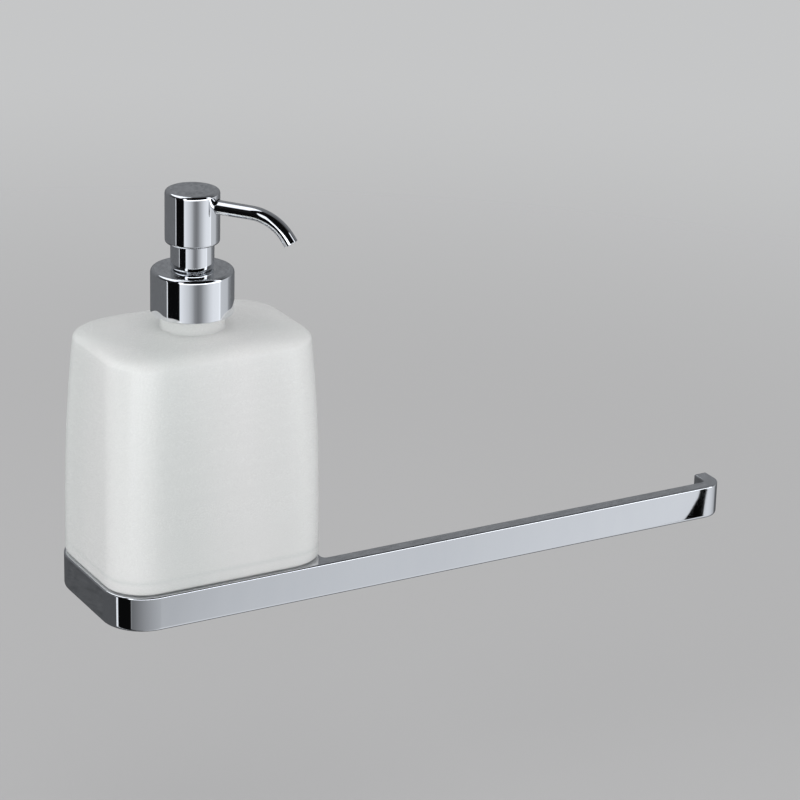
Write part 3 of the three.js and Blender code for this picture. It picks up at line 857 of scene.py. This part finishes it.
closure_low, closure_high = box_of("closure_insert")
closure_radius, closure_bore, closure_mouth = 16.5, 13.9, 8.6
closure_under = closure_high.z - 1.5
closure = turned([
    (closure_bore, closure_low.z, 0.3), (closure_radius, closure_low.z, 0.4),
    (closure_radius, closure_high.z, 0.5), (closure_mouth, closure_high.z, 0.3),
    (closure_mouth, closure_under), (closure_bore, closure_under, 0.5),
])
closure = finished("screw_closure", on_pump(closure), white_finish)
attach(closure, "collar")
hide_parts("closure_insert")

collar_low, collar_high = box_of("collar_shell")
collar_radius = (collar_high.x - collar_low.x) / 2
collar_bore, collar_mouth = collar_radius - 1.2, 8.3
collar_under = collar_high.z - 1.5
collar = turned([
    (collar_bore, collar_low.z, 0.3), (collar_radius, collar_low.z, 0.35),
    (collar_radius, collar_high.z, 1.7), (collar_mouth, collar_high.z, 0.3),
    (collar_mouth, collar_under), (collar_bore, collar_under, 0.6),
], 128, 6)
collar = finished("collar_cover", on_pump(collar), chrome_finish)
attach(collar, "collar")
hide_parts("collar_shell")


# ---- Guide sleeve ----
# Chromed sleeve that stands on the collar and guides the head. Its foot is rounded in, so that a fine shadow
# line shows where it meets the collar.

sleeve_low, sleeve_high = box_of("guide_sleeve")
sleeve_flange = (sleeve_high.x - sleeve_low.x) / 2
sleeve_radius, sleeve_bore, sleeve_waist = 9.4, 7, 8
waist_low, waist_high = sleeve_low.z + 1.5, collar_high.z + 0.3
sleeve = turned([
    (sleeve_bore, sleeve_low.z, 0.2), (sleeve_flange, sleeve_low.z, 0.3), (sleeve_flange, waist_low, 0.3),
    (sleeve_waist, waist_low), (sleeve_waist, waist_high), (sleeve_radius, waist_high, 1.35),
    (sleeve_radius, sleeve_high.z, 0.5), (sleeve_bore, sleeve_high.z, 0.4),
], 128, 5)
sleeve = finished("slide_sleeve", on_pump(sleeve), chrome_finish)
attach(sleeve, "collar")
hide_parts("guide_sleeve")


# ---- Head ----
# Deep-drawn chromed cap with the spout's hole in its side, pressed over a white moulded core that joins the
# stem to the spout.

head_low, head_high = box_of("head_shell")
head_radius = (head_high.x - head_low.x) / 2
head_wall = 1.6
head_bore, head_under = head_radius - head_wall, head_high.z - head_wall
spout_z = head_high.z - 6.2
spout_hole = 3.3
heading = math.radians(40)
outward = Vector((math.sin(heading), -math.cos(heading), 0))
head = turned([
    (head_bore, head_low.z, 0.3), (head_radius, head_low.z, 1.15), (head_radius, head_high.z, 1.7),
    (0, head_high.z), (0, head_under), (head_bore, head_under, 0.6),
], 128, 6)
drill = bmesh.new()
bmesh.ops.create_cone(drill, cap_ends=True, segments=64, radius1=spout_hole, radius2=spout_hole, depth=16)
lying = outward.to_track_quat("Z", "Y").to_matrix()
bmesh.ops.rotate(drill, cent=(0, 0, 0), matrix=lying, verts=drill.verts[:])
moved(drill, *(outward * 14 + Vector((0, 0, spout_z))))
head = finished("press_head", on_pump(cut_out(head, [drill])), chrome_finish)
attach(head, "head")
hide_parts("head_shell")

head_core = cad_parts["head_core"]
head_core.data.materials.clear()
head_core.data.materials.append(white_finish)


# ---- Spout ----
# Brass tube of about 6 mm, bent down over a former, cut off square at the mouth and chromed. Its inner end
# is pushed through the head's side into the core.

spout_radius, spout_bore = 3.05, 2
fall = math.radians(1.7)
turn = math.radians(55) - fall
bend_radius, bend_from, start_from, tip = 21, 27.2, 5.6, 2.9


def drawn(mesh, ring, vector):
    """Draws an open end of a mesh along a vector and returns its new edges."""
    longer = bmesh.ops.extrude_edge_only(mesh, edges=ring)["geom"]
    ends = [part for part in longer if isinstance(part, bmesh.types.BMVert)]
    bmesh.ops.translate(mesh, vec=vector, verts=ends)
    return [part for part in longer if isinstance(part, bmesh.types.BMEdge)]


def bent_rod(radius, longer, rounding=0):
    """A rod on the spout's path in the plane y = 0: out along +X, round the bend and on to the mouth. It is
    longer than the spout by that much at both ends, and its mouth may be rounded."""
    mesh = bmesh.new()
    along = Vector((math.cos(fall), 0, -math.sin(fall)))
    downward = Vector((math.cos(fall + turn), 0, -math.sin(fall + turn)))
    upright = Matrix.Rotation(math.pi / 2 + fall, 3, "Y")
    ring = bmesh.ops.create_circle(mesh, segments=48, radius=radius, cap_ends=False)["verts"]
    bmesh.ops.rotate(mesh, cent=(0, 0, 0), matrix=upright, verts=ring)
    bmesh.ops.translate(mesh, vec=Vector((start_from, 0, 0)) - along * longer, verts=ring)
    open_end = mesh.edges[:]
    run = (bend_from - start_from) / math.cos(fall)
    for _ in range(3):
        open_end = drawn(mesh, open_end, along * (run + longer) / 3)
    bend_start = Vector((start_from, 0, 0)) + along * run
    centre = bend_start - Vector((math.sin(fall), 0, math.cos(fall))) * bend_radius
    open_verts = list({end for edge in open_end for end in edge.verts})
    spun = bmesh.ops.spin(
        mesh, geom=open_verts + open_end, cent=centre, axis=(0, 1, 0), dvec=(0, 0, 0), angle=turn, steps=28,
    )
    open_end = [part for part in spun["geom_last"] if isinstance(part, bmesh.types.BMEdge)]
    mouth = drawn(mesh, open_end, downward * (tip + longer))
    bmesh.ops.holes_fill(mesh, edges=mesh.edges[:])
    bmesh.ops.recalc_face_normals(mesh, faces=mesh.faces[:])
    if rounding:
        rounded(mesh, mouth, rounding, 3)
    return mesh


spout = cut_out(bent_rod(spout_radius, 0, 0.25), [bent_rod(spout_bore, 1)])
bmesh.ops.rotate(
    spout, cent=(0, 0, 0), matrix=Matrix.Rotation(heading - math.pi / 2, 3, "Z"), verts=spout.verts[:]
)
spout = finished("bent_spout", moved(spout, 0, axis_y, spout_z), chrome_finish)
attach(spout, "head")
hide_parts("spout_tube")


# ---- Studio ----
# A pale floor under the object, three soft lamps, and an even pale room. Bright metal sees the room as a
# studio with white, grey and black boards.

floor_z = -0.13
floor = bmesh.new()
bmesh.ops.create_circle(floor, cap_ends=True, segments=96, radius=2.5)
bmesh.ops.translate(floor, vec=(0, 0, floor_z), verts=floor.verts[:])
floor_data = bpy.data.meshes.new("floor")
floor.to_mesh(floor_data)
floor.free()
floor = bpy.data.objects.new("floor", floor_data)
bpy.context.collection.objects.link(floor)
floor.visible_glossy = False
paper = Finish("floor_paper")
own = paper.node("TexCoord", output="Object")
away = paper.node("VectorMath", {"operation": "LENGTH"}, {0: own}, "Value")
reach = {"Value": away, "From Min": 0.5, "From Max": 1.3}
fade = paper.node("MapRange", {"interpolation_type": "SMOOTHSTEP"}, reach)
below = paper.node("NewGeometry", output="Backfacing")
matt = paper.node("BsdfDiffuse", sockets={"Color": (0.49, 0.49, 0.495, 1)})
clear = paper.node("BsdfTransparent")
seen = paper.node("MixShader", sockets={0: paper.maths("MAXIMUM", fade, below), 1: matt, 2: clear})
paper.node("OutputMaterial", sockets={"Surface": seen})
floor_data.materials.append(paper.material)
floor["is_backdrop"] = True

world = bpy.data.worlds.new("studio")
bpy.context.scene.world = world
world.use_nodes = True
room = Finish("room", world.node_tree)
direction = room.node("TexCoord", output="Generated")
middle = math.radians(244.4)
ahead = Vector((math.cos(middle), math.sin(middle), 0))
beside = Vector((-math.sin(middle), math.cos(middle), 0))
along_ahead = room.node("VectorMath", {"operation": "DOT_PRODUCT"}, {0: direction, 1: ahead}, "Value")
along_beside = room.node("VectorMath", {"operation": "DOT_PRODUCT"}, {0: direction, 1: beside}, "Value")
heading_share = room.maths("ARCTAN2", along_beside, along_ahead) / (2 * math.pi) + 0.5
to_wall = room.node("SeparateXYZ", sockets={0: direction}, output="Y")
rise = room.node("SeparateXYZ", sockets={0: direction}, output="Z")


def boards(*stops):
    """White, grey and black boards round the room, as (heading, brightness). Headings run from 64.4 degrees
    from +X, towards +Y, to 424.4."""
    colours = [
        ((heading - 64.4) / 360, (light, light * 1.035, light * 1.09, 1)) for heading, light in stops
    ]
    return room.node("ValToRGB", {"stops": colours}, {0: heading_share})


def above(level, soft, below, over):
    """Changes from one set of boards to another at a height of the direction."""
    ends = {"Value": rise, "From Min": level - soft, "From Max": level + soft}
    share = room.node("MapRange", sockets=ends)
    return room.node("Mix", {"data_type": "RGBA"}, {0: share, 6: below, 7: over}, output=2)


low_boards = boards(
    (64.4, 0.085), (171.5, 0.085), (172, 0.85), (177, 0.85), (177.5, 0.003), (213.5, 0.003), (214, 0.3),
    (217, 0.145), (232, 0.2), (252, 0.28), (275, 0.36), (293, 0.41), (295, 0.44), (295.6, 0.49), (297, 0.53),
    (299, 0.57), (301, 0.58), (302.7, 0.63), (305, 0.67), (330, 0.6), (356, 0.4), (366, 0.12), (424.4, 0.085),
)
side_boards = boards(
    (64.4, 0.14), (170, 0.14), (170.5, 0.9), (173.5, 0.9), (174, 0.003), (209, 0.003), (210, 0.82),
    (220, 0.72), (235, 0.57), (244, 0.42), (251, 0.25), (260, 0.18), (268, 0.23), (276, 0.38), (285, 0.52),
    (293, 0.66), (303, 0.77), (322, 0.82), (325, 0.95), (327, 0.95), (328, 0.55), (356, 0.5), (362, 0.28),
    (380, 0.15), (424.4, 0.14),
)
light_strip = boards(
    (64.4, 0.14), (170, 0.14), (170.5, 0.9), (173.5, 0.9), (174, 0.003), (209, 0.003), (210, 2.4), (327, 2.4),
    (328, 0.55), (356, 0.5), (362, 0.28), (380, 0.15), (424.4, 0.14),
)
high_boards = boards(
    (64.4, 0.2), (120, 0.16), (160, 0.03), (205, 0.003), (206, 1.15), (219, 1.15), (220, 0.003), (310, 0.003),
    (311, 1.15), (326, 1.15), (327, 0.05), (345, 0.1), (365, 0.18), (424.4, 0.2),
)
ceiling = boards(
    (64.4, 0.2), (96, 0.2), (100, 1.2), (188, 1.2), (192, 0.003), (310, 0.003), (345, 0.1), (424.4, 0.2),
)
mirror_room = above(-0.355, 0.006, low_boards, side_boards)
mirror_room = above(-0.25, 0.01, mirror_room, light_strip)
mirror_room = above(0.1, 0.02, mirror_room, high_boards)
mirror_room = above(0.62, 0.02, mirror_room, ceiling)
grit = {"Vector": direction, "Scale": 500.0, "Detail": 4.0, "Roughness": 0.8}
stone = room.node("TexNoise", sockets=grit)
contrast = {"Value": stone, "From Min": 0.35, "From Max": 0.65, "To Min": 0.45, "To Max": 1.5}
stone = room.node("MapRange", sockets=contrast)
behind = room.node("MapRange", sockets={"Value": to_wall, "From Min": 0.0, "From Max": 0.12})
mottled = room.node("VectorMath", {"operation": "SCALE"}, {0: mirror_room, "Scale": 1 + (stone - 1) * behind})
to_metal = room.node("LightPath", output="Is Glossy Ray")
even_room = room.node("Background", sockets={"Color": (0.56, 0.565, 0.57, 1), "Strength": 1.0})
soft_room = room.node("Background", sockets={"Color": (1, 1, 1, 1), "Strength": 0.88})
board_room = room.node("Background", sockets={"Color": mottled, "Strength": 1.0})
to_camera = room.node("LightPath", output="Is Camera Ray")
seen_room = room.node("MixShader", sockets={0: to_camera, 1: soft_room, 2: even_room})
seen_room = room.node("MixShader", sockets={0: to_metal, 1: seen_room, 2: board_room})
room.node("OutputWorld", sockets={"Surface": seen_room})


def lamp(name, place, aim, size, power):
    """A square soft lamp that bright metal doesn't mirror."""
    light = bpy.data.lights.new(name, "AREA")
    light.shape = "SQUARE"
    light.size = size
    light.energy = power
    thing = bpy.data.objects.new(name, light)
    thing.visible_glossy = False
    thing.location = place
    thing.rotation_euler = (Vector(aim) - Vector(place)).to_track_quat("-Z", "Y").to_euler()
    bpy.context.collection.objects.link(thing)


lamp("left_softbox", (-1.5, -0.15, 0.5), (0, -0.05, 0.06), 0.7, 5.5)
lamp("right_softbox", (0.5, -1.4, 0.6), (0, -0.05, 0.06), 0.7, 1.2)
lamp("low_softbox", (-0.1, -0.75, -0.05), (0, -0.05, 0.02), 0.5, 1)

# A small black flag to the right of the rail, as (x, z) from the rail's end. The rail mirrors it as the dark
# stripe before its right bend.
flag_outline = [(80, -48), (83.3, -48), (82.4, -92), (60, -92), (73, -72), (78, -62)]
flag_y = bar_low.y - 130
flag = bmesh.new()
flag.faces.new([flag.verts.new(Vector((bar_high.x + x, flag_y, z)) * 0.001) for x, z in flag_outline])
flag_data = bpy.data.meshes.new("black_flag")
flag.to_mesh(flag_data)
flag.free()
flag = bpy.data.objects.new("black_flag", flag_data)
bpy.context.collection.objects.link(flag)
for ray in ("camera", "diffuse", "transmission", "shadow", "volume_scatter"):
    setattr(flag, "visible_" + ray, False)
cloth = Finish("black_cloth")
dull = cloth.node("BsdfDiffuse", sockets={"Color": (0.002, 0.002, 0.002, 1)})
cloth.node("OutputMaterial", sockets={"Surface": dull})
flag_data.materials.append(cloth.material)
flag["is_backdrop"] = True

camera_data = bpy.data.cameras.new("camera")
camera_data.sensor_width = 36
camera_data.lens = 143.9
camera = bpy.data.objects.new("camera", camera_data)
camera_place = (-0.5622, -1.2166, 0.5751)
camera_turn, camera_dip, camera_roll = -29.70, 20.88, 1.48
camera.matrix_world = (
    Matrix.Translation(camera_place)
    @ Matrix.Rotation(math.radians(camera_turn), 4, "Z")
    @ Matrix.Rotation(math.radians(90 - camera_dip), 4, "X")
    @ Matrix.Rotation(math.radians(camera_roll), 4, "Z")
)
bpy.context.collection.objects.link(camera)
bpy.context.scene.camera = camera
bpy.context.scene.view_settings.view_transform = "Standard"

low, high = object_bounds()
